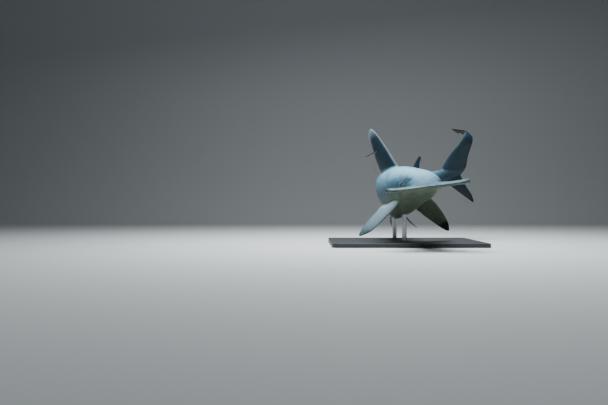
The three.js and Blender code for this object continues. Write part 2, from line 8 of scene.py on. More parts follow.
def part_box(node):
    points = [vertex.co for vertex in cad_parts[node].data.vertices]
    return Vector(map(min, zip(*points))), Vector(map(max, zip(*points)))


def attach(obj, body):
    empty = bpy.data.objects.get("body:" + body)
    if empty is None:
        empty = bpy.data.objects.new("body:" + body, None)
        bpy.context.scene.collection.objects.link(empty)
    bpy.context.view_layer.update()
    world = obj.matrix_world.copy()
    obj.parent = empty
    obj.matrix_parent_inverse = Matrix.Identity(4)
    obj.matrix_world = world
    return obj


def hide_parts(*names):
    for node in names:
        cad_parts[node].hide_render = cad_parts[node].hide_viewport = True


# Great hammerhead shark, life size, over a plain display stand. Metres, +Z up.
# The skin is modelled straight, in millimetres: x back from the snout, y to the shark's right,
# z to its back. It is then bent along the spine into the turning pose.
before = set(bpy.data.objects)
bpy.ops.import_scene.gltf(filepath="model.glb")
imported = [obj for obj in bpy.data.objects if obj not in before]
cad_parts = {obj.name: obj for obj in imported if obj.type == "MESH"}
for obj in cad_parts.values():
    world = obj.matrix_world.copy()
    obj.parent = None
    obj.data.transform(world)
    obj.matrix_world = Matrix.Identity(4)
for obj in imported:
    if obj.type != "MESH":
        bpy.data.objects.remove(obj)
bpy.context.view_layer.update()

MM = 0.001
SIDES = {"right": 1, "left": -1}
HEAD_HALF_WIDTH = 383.0
BODY_SPAN = (100, 2700)
# Power of the superellipse that the sections of the body follow
FLANK_POWER = 2.25
VOXEL = 8.7

# The spine's place at one station, and where the trunk points there, in degrees
PIVOT_X = 900.0
PIVOT = np.array([-58.0, -246.0, 583.0])
YAW, PITCH, BANK = 25.0, 8.15, 11.2
SPINE_LENGTH = 3700.0
SPINE_STEP = 10.0
# The head doesn't bend ahead of this station
RIGID_TO = 380.0

# First and last station of the root of each fin
DORSAL_ROOT = (880, 1210)
SECOND_DORSAL_ROOT = (2080, 2240)
ANAL_ROOT = (2050, 2220)
PECTORAL_ROOT = (700, 930)
PELVIC_ROOT = (1655, 1830)


def curve_through(knots):
    """Smooth curve through (x, value) knots that never overshoots them."""
    xs = np.array([k[0] for k in knots], float)
    ys = np.array([k[1] for k in knots], float)
    steps = np.diff(xs)
    slopes = np.diff(ys) / steps
    tangents = np.zeros(len(xs))
    tangents[0] = slopes[0]
    tangents[-1] = slopes[-1]
    for i in range(1, len(xs) - 1):
        a, b = slopes[i - 1], slopes[i]
        if a * b > 0:
            w1 = 2 * steps[i] + steps[i - 1]
            w2 = steps[i] + 2 * steps[i - 1]
            tangents[i] = (w1 + w2) / (w1 / a + w2 / b)

    def value(t):
        t = np.asarray(t, float)
        i = np.clip(np.searchsorted(xs, t) - 1, 0, len(steps) - 1)
        h = steps[i]
        u = np.clip((t - xs[i]) / h, 0, 1)
        v = 1 - u
        ends = (1 + 2 * u) * v * v * ys[i] + u * u * (3 - 2 * u) * ys[i + 1]
        return ends + u * v * v * h * tangents[i] - u * u * v * h * tangents[i + 1]
    return value


def smoothstep(low, high, t):
    u = np.clip((np.asarray(t, float) - low) / (high - low), 0, 1)
    return u * u * (3 - 2 * u)


# The body by station: half width, height above and below the spine, then its turns in degrees
HALF_WIDTH = curve_through([(60, 30), (130, 76), (220, 118), (400, 150), (620, 168), (900, 180),
                            (1200, 168), (1650, 130), (2150, 74), (2480, 44), (2600, 27),
                            (2700, 7)])
BACK = curve_through([(60, 14), (130, 32), (220, 60), (400, 112), (620, 168), (900, 229),
                      (1200, 226), (1650, 181), (2150, 114), (2480, 77), (2600, 56), (2700, 24)])
BELLY = curve_through([(60, 16), (130, 38), (220, 70), (400, 124), (620, 188), (900, 267),
                       (1200, 290), (1650, 229), (2150, 120), (2480, 75), (2600, 54), (2700, 24)])
SIDE_TURN = curve_through([(-200, -24), (RIGID_TO, -24), (900, 0), (1250, -29.4), (1600, -46.4),
                           (1950, -72.9), (2300, -101.2), (2650, -110.4), (3300, -135)])
RISE_TURN = curve_through([(-200, -5.85), (RIGID_TO, -5.85), (900, 0), (1350, 1.5), (1800, -3.7),
                           (2300, -7.6), (2800, 10.4)])
TWIST = curve_through([(-200, 6.3), (RIGID_TO, 6.3), (900, 0), (1350, -7.3), (1800, 14.2),
                       (2300, 1.4), (2800, 33.7)])


def turns(axis, degrees):
    """Turns about one axis, as a matrix for each angle."""
    a = np.radians(degrees)
    c, s = np.cos(a), np.sin(a)
    out = np.zeros(np.shape(a) + (3, 3))
    i, j = {"x": (1, 2), "y": (2, 0), "z": (0, 1)}[axis]
    k = 3 - i - j
    out[..., k, k] = 1
    out[..., i, i] = c
    out[..., j, j] = c
    out[..., i, j] = -s
    out[..., j, i] = s
    return out


def pivot_frame():
    """Columns: backwards, to the shark's right and to its back, at the pivot."""
    yaw, pitch, bank = np.radians([YAW, PITCH, BANK])
    heading = np.array([math.sin(yaw) * math.cos(pitch), -math.cos(yaw) * math.cos(pitch),
                        math.sin(pitch)])
    level = np.cross(heading, [0, 0, 1])
    level /= np.linalg.norm(level)
    upright = np.cross(level, heading)
    to_back = upright * math.cos(bank) + level * math.sin(bank)
    to_right = level * math.cos(bank) - upright * math.sin(bank)
    return np.stack([-heading, to_right, to_back], 1)


PIVOT_FRAME = pivot_frame()


def frames_at(x):
    return PIVOT_FRAME @ turns("z", SIDE_TURN(x)) @ turns("y", RISE_TURN(x)) @ turns("x", TWIST(x))


SPINE_XS = np.arange(0, SPINE_LENGTH + 1, SPINE_STEP)
backwards = frames_at(SPINE_XS)[:, :, 0]
steps = (backwards[1:] + backwards[:-1]) * SPINE_STEP / 2
SPINE = np.concatenate([np.zeros((1, 3)), np.cumsum(steps, 0)])
SPINE += PIVOT - SPINE[int(PIVOT_X / SPINE_STEP)]


def pose(points, first=0.0, last=SPINE_LENGTH):
    """Points of the straight shark to their places. Past its root a fin keeps the root's frame."""
    points = np.asarray(points, float)
    x = np.clip(points[..., 0], first, last)
    at = np.stack([np.interp(x, SPINE_XS, SPINE[:, i]) for i in range(3)], -1)
    offset = points.copy()
    offset[..., 0] -= x
    return at + np.einsum("...ij,...j->...i", frames_at(x), offset)


# Mesh helpers
def linked(name, data):
    obj = bpy.data.objects.new(name, data)
    bpy.context.scene.collection.objects.link(obj)
    return obj


def mesh_object(name, verts, faces, scale=MM):
    mesh = bpy.data.meshes.new(name)
    mesh.from_pydata((np.asarray(verts, float) * scale).tolist(), [], [list(f) for f in faces])
    mesh.validate()
    mesh.update()
    return linked(name, mesh)


def outward(obj):
    """Turns every face of a closed mesh outward."""
    work = bmesh.new()
    work.from_mesh(obj.data)
    bmesh.ops.recalc_face_normals(work, faces=work.faces)
    if work.calc_volume(signed=True) < 0:
        bmesh.ops.reverse_faces(work, faces=work.faces)
    work.to_mesh(obj.data)
    work.free()
    return obj


def loft(name, rings):
    """Closed surface through rings of the same count, with a face at each end."""
    rings = np.asarray(rings, float)
    rows, count = rings.shape[:2]
    faces = []
    for i in range(rows - 1):
        for j in range(count):
            a, b = i * count + j, i * count + (j + 1) % count
            faces.append((a, b, b + count, a + count))
    faces.append(tuple(range(count - 1, -1, -1)))
    faces.append(tuple((rows - 1) * count + j for j in range(count)))
    return outward(mesh_object(name, rings.reshape(-1, 3), faces))


def apply_modifiers(obj):
    bpy.context.view_layer.update()
    graph = bpy.context.evaluated_depsgraph_get()
    mesh = bpy.data.meshes.new_from_object(obj.evaluated_get(graph))
    old = obj.data
    obj.modifiers.clear()
    obj.data = mesh
    bpy.data.meshes.remove(old)
    return obj


def boolean(obj, others, operation):
    for other in others:
        cut = obj.modifiers.new("cut", "BOOLEAN")
        cut.operation = operation
        cut.solver = "MANIFOLD"
        cut.object = other
        apply_modifiers(obj)
        bpy.data.objects.remove(other)
    return obj


def read(items, key, width=3, kind=float):
    out = np.empty(len(items) * width, kind)
    items.foreach_get(key, out)
    return out.reshape(-1, width)


def join(objs, name):
    verts, faces, start = [], [], 0
    for obj in objs:
        verts.append(read(obj.data.vertices, "co"))
        faces += [tuple(v + start for v in p.vertices) for p in obj.data.polygons]
        start += len(obj.data.vertices)
        bpy.data.objects.remove(obj)
    return mesh_object(name, np.concatenate(verts), faces, 1.0)


def coords(obj):
    """Vertices in millimetres."""
    return read(obj.data.vertices, "co") / MM


def set_coords(obj, co):
    obj.data.vertices.foreach_set("co", (np.asarray(co) * MM).ravel())
    obj.data.update()


def edges_of(obj):
    return read(obj.data.edges, "vertices", 2, int)


def smooth(co, edges, weight, passes, keep_size=True):
    """Evens the surface by weight. With keep_size each pass is pushed back a little."""
    count = np.bincount(edges.ravel(), minlength=len(co))[:, None].clip(1)
    factors = (0.5, -0.52) if keep_size else (0.5,)
    for factor in factors * passes:
        total = np.zeros_like(co)
        for axis in range(3):
            total[:, axis] = np.bincount(edges[:, 0], co[edges[:, 1], axis], len(co)) \
                + np.bincount(edges[:, 1], co[edges[:, 0], axis], len(co))
        co = co + (total / count - co) * factor * weight[:, None]
    return co


def vertex_normals(obj):
    return read(obj.data.vertices, "normal")


# Body and head blade, straight
def foil(s):
    """Half thickness of a wing section along its chord, 1 at the thickest."""
    return 10 * (0.2969 * np.sqrt(s) - 0.126 * s - 0.3516 * s ** 2 + 0.2843 * s ** 3
                 - 0.1036 * s ** 4)


def body_rings(xs, points):
    angle = np.linspace(0, 2 * np.pi, points, endpoint=False)
    power = 2 / FLANK_POWER
    across = np.sign(np.cos(angle)) * np.abs(np.cos(angle)) ** power
    rise = np.sign(np.sin(angle)) * np.abs(np.sin(angle)) ** power
    rings = []
    for x in xs:
        height = np.where(rise > 0, BACK(x), BELLY(x))
        rings.append(np.stack([np.full(points, x), across * HALF_WIDTH(x), rise * height], 1))
    return rings


def section(front, rear, half, chord, rear_half, sharp=0.0):
    """Closed ring of (along, off): over the top from front to rear, then back underneath."""
    s = (1 - np.cos(np.linspace(0, np.pi, chord))) / 2
    off = half * foil(s) * (1 - s ** 6) + rear_half * s ** 6
    off = off * (1 - sharp * (1 - smoothstep(0, 0.4, s)))
    along = front + (rear - front) * s
    return np.concatenate([along, along[:0:-1]]), np.concatenate([off, -off[:0:-1]])


BLADE_FRONT = curve_through([(0, 12), (0.07, 2), (0.5, 6), (0.78, 24), (0.93, 50), (1, 88)])
BLADE_REAR = curve_through([(0, 420), (0.3, 330), (0.38, 262), (0.47, 215), (0.6, 196), (0.8, 190),
                            (0.93, 176), (1, 122)])
BLADE_HALF = curve_through([(0, 32), (0.5, 26), (0.8, 22), (0.93, 27), (1, 19)])
BLADE_REAR_HALF, BLADE_SHARPNESS = 4.5, 0.42
# Shift to the side, at the left of the neck and at the right flank
NECK_SHIFT, FLANK_SHIFT = -58, -27
# Passes of smoothing
EVEN_PASSES, CORNER_PASSES, ROOT_PASSES, LID_PASSES = 8, 90, 14, 6


def blade_rings(rows, chord):
    rings = []
    for v in np.sin(np.linspace(-np.pi / 2, np.pi / 2, rows)):
        a = abs(v)
        along, off = section(BLADE_FRONT(a), BLADE_REAR(a), BLADE_HALF(a), chord,
                             BLADE_REAR_HALF, BLADE_SHARPNESS)
        rings.append(np.stack([along, np.full(len(along), v * HEAD_HALF_WIDTH), off], 1))
    return rings


def side_shift(x, side):
    """The turn of the body fills the left of the neck and flattens the right flank."""
    neck = smoothstep(190, 380, x) * smoothstep(800, 540, x)
    flank_flat = smoothstep(830, 1050, x) * smoothstep(1750, 1400, x)
    return np.where(side < 0, NECK_SHIFT * neck, FLANK_SHIFT * flank_flat)


body = loft("body", body_rings(np.linspace(*BODY_SPAN, 220), 96))
blade = loft("blade", blade_rings(110, 34))
skin = join([body, blade], "skin")
remesh = skin.modifiers.new("even", "REMESH")
remesh.mode = "VOXEL"
remesh.voxel_size = VOXEL * MM
apply_modifiers(skin)
p = coords(skin)
edges = edges_of(skin)
near_head = smoothstep(520, 380, p[:, 0])
p = smooth(p, edges, np.ones(len(p)), EVEN_PASSES)
share = np.clip(np.abs(p[:, 1]) / HALF_WIDTH(p[:, 0]), 0, 1)
on_neck = smoothstep(250, 160, np.abs(p[:, 1]))
p[:, 1] += side_shift(p[:, 0], np.sign(p[:, 1])) * share * on_neck
# Fills the corner between blade and neck, more above than below
corner = near_head * smoothstep(290, 210, np.abs(p[:, 1])) * smoothstep(50, 100, np.abs(p[:, 1]))
corner *= np.where(p[:, 2] > 0, 1.0, 0.45)
p = smooth(p, edges, corner * 0.95, CORNER_PASSES, keep_size=False)
set_coords(skin, p)


# Fins, straight. Each turns about a share of its chord, fully from a share of its length on
FIN_HINGE, FULL_TURN_AT = 0.3, 0.35
FIN_REAR_HALF = 0.7


def tip_close(t, start):
    """How far the chord still is open towards the rounded tip."""
    return math.sqrt(max(1 - smoothstep(start, 1.002, t) ** 2, 0.02))


def fin_rings(spec, rows, chord):
    """Rings from the root out."""
    rings = []
    (out_y, out_z), (face_y, face_z) = spec["out"], spec["face"]
    (y0, z0), (y1, z1) = spec["root"]
    first, last = spec["stations"]
    for t in np.sin(np.linspace(0, np.pi / 2, rows)):
        front, rear = spec["front"](t), spec["rear"](t)
        close = tip_close(t, 0.965)
        middle = (front + rear) / 2
        front, rear = middle + (front - middle) * close, middle + (rear - middle) * close
        along, off = section(front, rear, spec["half"](t) * close, chord, FIN_REAR_HALF)
        ahead = front + (rear - front) * FIN_HINGE
        turn = math.radians(spec["turn"] * min(t / FULL_TURN_AT, 1))
        d = along - ahead
        x = ahead + d * math.cos(turn)
        share = np.clip((x - first) / (last - first), 0, 1)
        off = off + d * math.sin(turn) + spec["lean"] * t * t
        out = spec["length"] * t
        rings.append(np.stack([x, y0 + (y1 - y0) * share + out_y * out + face_y * off,
                               z0 + (z1 - z0) * share + out_z * out + face_z * off], 1))
    return rings


def fin(front, rear, half, turn, lean=0, **spec):
    """A fin: front, rear and half thickness go by the share of its length. The way out of the
    body, the way its face looks and the ends of its root are (y, z)."""
    return dict(spec, front=curve_through(front), rear=curve_through(rear),
                half=curve_through(half), turn=turn, lean=lean)


FIRST_DORSAL = fin(
    out=(0, 1), face=(-1, 0), root=((0, 205), (0, 190)), stations=DORSAL_ROOT, length=545,
    front=[(0, 850), (0.25, 930), (0.5, 1005), (0.75, 1098), (0.92, 1190), (1, 1292)],
    rear=[(0, 1212), (0.12, 1268), (0.28, 1232), (0.5, 1268), (0.75, 1352), (0.92, 1400),
          (1, 1366)],
    half=[(0, 24), (0.5, 14), (1, 3)], lean=47, turn=-9)
SECOND_DORSAL = fin(
    out=(0, 1), face=(-1, 0), root=((0, 95), (0, 84)), stations=SECOND_DORSAL_ROOT, length=230,
    front=[(0, 2070), (0.4, 2140), (0.8, 2232), (1, 2300)],
    rear=[(0, 2245), (0.12, 2325), (0.3, 2252), (0.6, 2272), (0.9, 2322), (1, 2318)],
    half=[(0, 12), (0.5, 7), (1, 2.5)], turn=0)
ANAL = fin(
    out=(0, -1), face=(1, 0), root=((0, -98), (0, -84)), stations=ANAL_ROOT, length=192,
    front=[(0, 2042), (0.4, 2112), (0.8, 2202), (1, 2256)],
    rear=[(0, 2226), (0.14, 2296), (0.32, 2198), (0.6, 2212), (1, 2272)],
    half=[(0, 12), (0.5, 7), (1, 2.5)], turn=0)

PECTORAL_LENGTH, PECTORAL_ROOT_Y, PECTORAL_FRONT = 545, 118, 690
# Droop, sweep and turn in degrees, right and left
RIGHT_PECTORAL, LEFT_PECTORAL = (31, 40, 35), (50, 25, -28)
# Length of the right and the left one from the root to the tip, for the colours
PECTORAL_REACH = (477, 554)
PELVIC_DROOP, PELVIC_TURN = 66, {1: 17, -1: -22}


def pectoral(side, droop, sweep, turn):
    sweep, droop = math.radians(sweep), math.radians(droop)
    length, back = PECTORAL_LENGTH * math.cos(sweep), PECTORAL_LENGTH * math.sin(sweep)
    c, s = math.cos(droop), math.sin(droop)
    at, start = side * PECTORAL_ROOT_Y, PECTORAL_FRONT
    return fin(
        out=(side * c, -s), face=(side * s, c), root=((at, -88), (at, -118)),
        stations=PECTORAL_ROOT, length=length + 60,
        front=[(0, start), (0.3, start + back * 0.14), (0.6, start + back * 0.34),
               (0.85, start + back * 0.64), (1, start + back)],
        rear=[(0, 965), (0.15, 972), (0.35, 922 + back * 0.05), (0.6, 850 + back * 0.36),
              (0.85, 775 + back * 0.72), (1, 716 + back)],
        half=[(0, 27), (0.5, 15), (1, 3)], turn=turn)


def pelvic(side):
    c, s = math.cos(math.radians(PELVIC_DROOP)), math.sin(math.radians(PELVIC_DROOP))
    return fin(
        out=(side * c, -s), face=(side * s, c), root=((side * 42, -170), (side * 34, -140)),
        stations=PELVIC_ROOT, length=322,
        front=[(0, 1645), (0.4, 1718), (0.8, 1812), (1, 1878)],
        rear=[(0, 1838), (0.25, 1818), (0.6, 1828), (0.85, 1880), (1, 1896)],
        half=[(0, 13), (0.5, 8), (1, 2.5)], turn=PELVIC_TURN[side])


# Tail fin: two lobes. The end of the upper one curls over to the right and twists
UPPER_ANGLE, LOWER_ANGLE = math.radians(54), math.radians(42)
UPPER_LENGTH, LOWER_LENGTH = 935.0, 545.0
UPPER_STEPS = 400
CURL, CURL_FROM, CURL_TO = 105.0, 0.44, 0.68
HOOK_TWIST = 14.0
RIGHT = np.array([0, 1, 0])
UPPER_START = np.array([2488.0, 0, 54])
LOWER_START = np.array([2478.0, 0, -52])
RISING = np.array([math.cos(UPPER_ANGLE), 0, math.sin(UPPER_ANGLE)])
BEHIND = np.array([RISING[2], 0, -RISING[0]])
FALLING = np.array([math.cos(LOWER_ANGLE), 0, -math.sin(LOWER_ANGLE)])
UNDER = np.array([-FALLING[2], 0, FALLING[0]])
UPPER_CHORD = curve_through([(0, 225), (0.15, 252), (0.35, 178), (0.6, 112), (0.8, 84), (0.87, 64),
                             (0.92, 88), (1, 26)])
UPPER_HALF = curve_through([(0, 30), (0.2, 21), (0.5, 13), (1, 3)])
LOWER_CHORD = curve_through([(0, 320), (0.3, 185), (0.6, 112), (0.85, 66), (1, 16)])
LOWER_HALF = curve_through([(0, 22), (0.5, 12), (1, 3)])


def lobe_rings(start, along, across, length, chord_at, half_at, rows, chord):
    rings = []
    for t in np.sin(np.linspace(0, np.pi / 2, rows)):
        close = tip_close(t, 0.97)
        wide = chord_at(t)
        s, off = section(wide * (1 - close) / 2, wide * (1 + close) / 2, half_at(t) * close, chord,
                         FIN_REAR_HALF)
        ring = start + along * length * t + across * s[:, None]
        ring[:, 1] += off
        rings.append(ring)
    return rings


upper_lobe = lobe_rings(UPPER_START, RISING, BEHIND, UPPER_LENGTH, UPPER_CHORD, UPPER_HALF, 100, 24)
lower_lobe = lobe_rings(LOWER_START, FALLING, UNDER, LOWER_LENGTH, LOWER_CHORD, LOWER_HALF, 56, 24)
fins = [fin_rings(FIRST_DORSAL, 70, 26),
        fin_rings(pectoral(1, *RIGHT_PECTORAL), 64, 24),
        fin_rings(pectoral(-1, *LEFT_PECTORAL), 64, 24),
        fin_rings(pelvic(1), 44, 18),
        fin_rings(pelvic(-1), 44, 18),
        fin_rings(SECOND_DORSAL, 40, 18),
        fin_rings(ANAL, 36, 18),
        upper_lobe, lower_lobe]
boolean(skin, [loft("fin", rings) for rings in fins], "UNION")


def body_gap(q):
    """How far a point is outside the plain body, about, in millimetres."""
    height = np.where(q[:, 2] > 0, BACK(q[:, 0]), BELLY(q[:, 0]))
    width = HALF_WIDTH(q[:, 0])
    share = np.clip(np.abs(q[:, 1]) / (width + 40), 0, 1)
    across = q[:, 1] - side_shift(q[:, 0], np.sign(q[:, 1])) * share
    level = (np.abs(across) / width) ** FLANK_POWER + (np.abs(q[:, 2]) / height) ** FLANK_POWER
    size = np.hypot(across, q[:, 2])
    return size * (1 - 1 / np.maximum(level, 1e-6) ** (1 / FLANK_POWER))


# Rounds off the roots of the fins, this far on both sides of each root
ROOT_GAP, ROOT_REACH, FINS_FROM = 9, 34, 600
p = coords(skin)
edges = edges_of(skin)
gap = body_gap(p)
fin_side = (gap > ROOT_GAP) & (p[:, 0] > FINS_FROM)
root_tree = kdtree.KDTree(int(fin_side.sum()))
for i, v in enumerate(p[fin_side]):
    root_tree.insert(v, i)
root_tree.balance()
weight = np.zeros(len(p))
close_by = (np.abs(gap) < ROOT_REACH) & (p[:, 0] > FINS_FROM)
for i in np.nonzero(close_by)[0]:
    if gap[i] > ROOT_GAP:
        weight[i] = smoothstep(ROOT_REACH, 12, gap[i])
    else:
        weight[i] = smoothstep(ROOT_REACH, 10, root_tree.find(p[i])[2])
p = smooth(p, edges, weight, ROOT_PASSES, keep_size=False)
set_coords(skin, p)


# Finer faces where the head and the nape carry small forms
def refine(obj, chosen):
    """Cuts each edge between two chosen vertices in half."""
    work = bmesh.new()
    work.from_mesh(obj.data)
    work.verts.ensure_lookup_table()
    inside = [e for e in work.edges if chosen[e.verts[0].index] and chosen[e.verts[1].index]]
    bmesh.ops.subdivide_edges(work, edges=inside, cuts=1, use_grid_fill=True)
    work.to_mesh(obj.data)
    work.free()


MOUTH_HALF_WIDTH, MOUTH_FRONT, MOUTH_LENGTH, MOUTH_BOW = 104.0, 212.0, 74.0, 0.96
MOUTH_CORNER = 9
EYE_RADIUS, EYE_X, EYE_Y = 19.0, 104.0, HEAD_HALF_WIDTH - 8
# The lid's ring and the socket in metres, then how far out the lid lies in millimetres
LID_RADIUS, LID_THICKNESS, SOCKET_RADIUS = 0.0208, 0.0052, 0.0194
LID_OUT, LID_SMOOTH_OUT = 4, 3
NOSTRIL_Z, NOSTRIL_WIDTH = -5, 3.6


def mouth_distance(q):
    """Distance from the line of the mouth, seen from below, and how far past its corners."""
    v = q[:, 1] / MOUTH_HALF_WIDTH
    inside = np.clip(1 - MOUTH_BOW * np.clip(v, -1, 1) ** 2, 0.04, 1)
    x = MOUTH_FRONT + MOUTH_LENGTH * (1 - np.sqrt(inside))
    slope = MOUTH_LENGTH * MOUTH_BOW * v / MOUTH_HALF_WIDTH / np.sqrt(inside)
    past = np.maximum(np.abs(q[:, 1]) - MOUTH_HALF_WIDTH, 0)
    return (q[:, 0] - x) / np.sqrt(1 + slope ** 2), past


def nostril_span(across):
    """1 along the nostril's slit, by the share of the head's half width."""
    return smoothstep(0.745, 0.775, across) * smoothstep(0.895, 0.865, across)


def angle_round(q):
    """Angle round the body in degrees: 0 at the back, 90 at the right flank."""
    return np.degrees(np.arctan2(q[:, 1], q[:, 2]))


# Folds: station, depth, width, and the angles round the body where each starts and ends
NAPE_FOLDS = [(350, 5.0, 6, 64, 90), (386, 30.0, 14, 47, 90), (428, 9.0, 8, 50, 84),
              (468, 5.0, 9, 34, 76), (528, 4.0, 10, 22, 70), (590, 2.5, 11, 16, 62)]
FOLD_MIDDLE = 50


def fold_line(x0, around):
    """Station of a fold at each angle: it slants back, bows and waves a little."""
    u = around - FOLD_MIDDLE
    return x0 + 2.9 * u + 0.045 * u ** 2 + 5 * np.sin(np.radians(around * 5 + x0))


def fold_reach(low, high, around):
    """1 along a fold, down to 0 at its ends."""
    return smoothstep(low - 6, low + 9, around) * smoothstep(high + 7, high - 9, around)


def nape_fold(q):
    """Creases where the turned head gathers the skin of the right nape."""
    around = angle_round(q)
    total = np.zeros(len(q))
    for x0, depth, width, low, high in NAPE_FOLDS:
        d = (q[:, 0] - fold_line(x0, around)) / (width * 1.6)
        ridge = np.exp(-((np.abs(d) - 1.7) / 0.75) ** 2)
        total += fold_reach(low, high, around) * depth * (0.55 * ridge - np.exp(-d ** 2))
    return total


p = coords(skin)
dist, past = mouth_distance(p)
under_blade = (p[:, 2] < -20) & (p[:, 0] < 340)
near_mouth = (np.abs(dist) < 34) & (past < 24) & under_blade
near_eye = (np.abs(np.abs(p[:, 1]) - EYE_Y) < 44) & (p[:, 0] < 190)
near_nostril = (np.abs(p[:, 1]) > 270) & (p[:, 0] < 75)
around = angle_round(p)
near_nape = (p[:, 0] > 310) & (p[:, 0] < 720) & (around > 8) & (around < 108)
refine(skin, near_mouth | near_eye | near_nostril | near_nape)
p = coords(skin)
dist, past = mouth_distance(p)
under_blade = (p[:, 2] < -20) & (p[:, 0] < 340)
refine(skin, (np.abs(dist) < 22) & (past < 14) & under_blade)

# Pushed along the normals: the line of the mouth with two lips, the folds, the nostril slits
p = coords(skin)
normals = vertex_normals(skin)
dist, past = mouth_distance(p)
below = smoothstep(-0.1, -0.5, normals[:, 2]) * (p[:, 0] < 360)
fade = np.exp(-(past / MOUTH_CORNER) ** 2) * below
groove = -9.0 * np.exp(-(dist / 3.2) ** 2)
lips = 5.5 * np.exp(-((np.abs(dist + 1) - 9) / 5.5) ** 2)
push = fade * (groove + lips)
push += nape_fold(p)
side_v = np.abs(p[:, 1]) / HEAD_HALF_WIDTH
front = p[:, 0] - BLADE_FRONT(np.clip(side_v, 0, 1)) < 22
groove = -11 * np.exp(-((p[:, 2] - NOSTRIL_Z) / NOSTRIL_WIDTH) ** 2)
rims = 2.6 * np.exp(-((np.abs(p[:, 2] - NOSTRIL_Z) - 9) / 4) ** 2)
push += np.where(front, nostril_span(side_v) * (groove + rims), 0)
p = p + normals * push[:, None]
set_coords(skin, p)


def eye_place(side, out=0):
    return Vector((EYE_X, side * (EYE_Y + out), 0)) * MM


def placed():
    """The primitive added last, with its place moved into its mesh."""
    obj = bpy.context.object
    obj.data.transform(obj.matrix_world)
    obj.matrix_world.identity()
    return obj


# Lids: a rolled ring round each eye, then the socket
for side in SIDES.values():
    bpy.ops.mesh.primitive_torus_add(
        major_radius=LID_RADIUS, minor_radius=LID_THICKNESS, major_segments=48, minor_segments=16,
        location=eye_place(side, LID_OUT), rotation=(math.pi / 2, 0, 0))
    boolean(skin, [placed()], "UNION")
p = coords(skin)
edges = edges_of(skin)
for side in SIDES.values():
    far = np.linalg.norm(p - np.array([EYE_X, side * (EYE_Y + LID_SMOOTH_OUT), 0]), axis=1)
    round_lid = smoothstep(46, 36, far) * smoothstep(22, 27, far)
    p = smooth(p, edges, round_lid, LID_PASSES, keep_size=False)
set_coords(skin, p)
for side in SIDES.values():
    bpy.ops.mesh.primitive_uv_sphere_add(segments=48, ring_count=32, radius=SOCKET_RADIUS,
                                         location=eye_place(side))
    boolean(skin, [placed()], "DIFFERENCE")

# Gill slits: five on each flank, each cut in under the flap in front of it
GILL_XS = (532, 566, 600, 633, 664)
GILL_TOP, GILL_BOTTOM, GILL_WIDTH, GILL_DEPTH = 62.0, -120.0, 7.0, 13.0
GILL_BOW, GILL_OUTSIDE = 10, 18


def flank(x, z):
    """Half width of the plain body at a height."""
    height = np.where(z > 0, BACK(x), BELLY(x))
    inside = np.clip(1 - (np.abs(z) / height) ** FLANK_POWER, 0, 1)
    return HALF_WIDTH(x) * inside ** (1 / FLANK_POWER)


def gill_line(x, z):
    """Station of a slit at each height."""
    t = np.clip((GILL_TOP - z) / (GILL_TOP - GILL_BOTTOM), 0, 1)
    return x + GILL_BOW * np.sin(np.pi * t)


def gill_ends(z, past):
    """1 along a slit, down to 0 a little past its ends."""
    return smoothstep(GILL_TOP + past, GILL_TOP - 20, z) \
        * smoothstep(GILL_BOTTOM - past, GILL_BOTTOM + 20, z)


p = coords(skin)
near_gills = (p[:, 0] > 505) & (p[:, 0] < 700) & (p[:, 2] > -150) & (p[:, 2] < 90)
refine(skin, near_gills & (np.abs(p[:, 1]) > 70))
p = coords(skin)
normals = vertex_normals(skin)
push = np.zeros(len(p))
for x0 in GILL_XS:
    ends = gill_ends(p[:, 2], 26)
    d = gill_line(x0, p[:, 2]) - p[:, 0]
    push += ends * 5.0 * smoothstep(-5, 1, d) * smoothstep(30, 2, d)
    push -= ends * 2.5 * np.exp(-((d + 9) / 6) ** 2)
push *= (np.abs(p[:, 1]) > 60) * (p[:, 0] > 490) * (p[:, 0] < 720)
gap = body_gap(p)
push *= smoothstep(40, 15, np.abs(gap))
set_coords(skin, p + normals * push[:, None])
cutters = []
for x0 in GILL_XS:
    for side in SIDES.values():
        rings = []
        for t in np.linspace(0, 1, 19):
            z = GILL_TOP + (GILL_BOTTOM - GILL_TOP) * t
            mid = x0 + GILL_BOW * math.sin(math.pi * t)
            open_to = GILL_WIDTH * (0.25 + 0.75 * math.sin(math.pi * t))
            y = float(flank(mid, z) + side * side_shift(mid, side))
            corners = [(-1, GILL_OUTSIDE), (open_to, GILL_OUTSIDE), (open_to - 5, -GILL_DEPTH),
                       (-7, -GILL_DEPTH)]
            rings.append([(mid + dx, side * (y + dy), z) for dx, dy in corners])
        cutters.append(loft("slit", rings))
boolean(skin, cutters, "DIFFERENCE")

# Leaves no double vertices and no faces without area
work = bmesh.new()
work.from_mesh(skin.data)
bmesh.ops.remove_doubles(work, verts=work.verts, dist=0.02 * MM)
bmesh.ops.dissolve_degenerate(work, edges=work.edges, dist=0.01 * MM)
work.to_mesh(skin.data)
work.free()
skin.data.validate()

# The straight shape is kept for the colours, then everything is bent into the pose
straight_co = coords(skin)
straight_normals = vertex_normals(skin)


def upper_line():
    """Middle line of the upper lobe: shares of its length, turns and points."""
    rows = np.linspace(0, 1, UPPER_STEPS + 1)
    turn = np.radians(CURL) * smoothstep(CURL_FROM, CURL_TO, rows)
    mid = (turn[1:] + turn[:-1]) / 2
    step = RISING * np.cos(mid)[:, None] + RIGHT * np.sin(mid)[:, None]
    run = np.cumsum(step * UPPER_LENGTH / UPPER_STEPS, 0)
    return rows, turn, UPPER_START + np.concatenate([np.zeros((1, 3)), run])


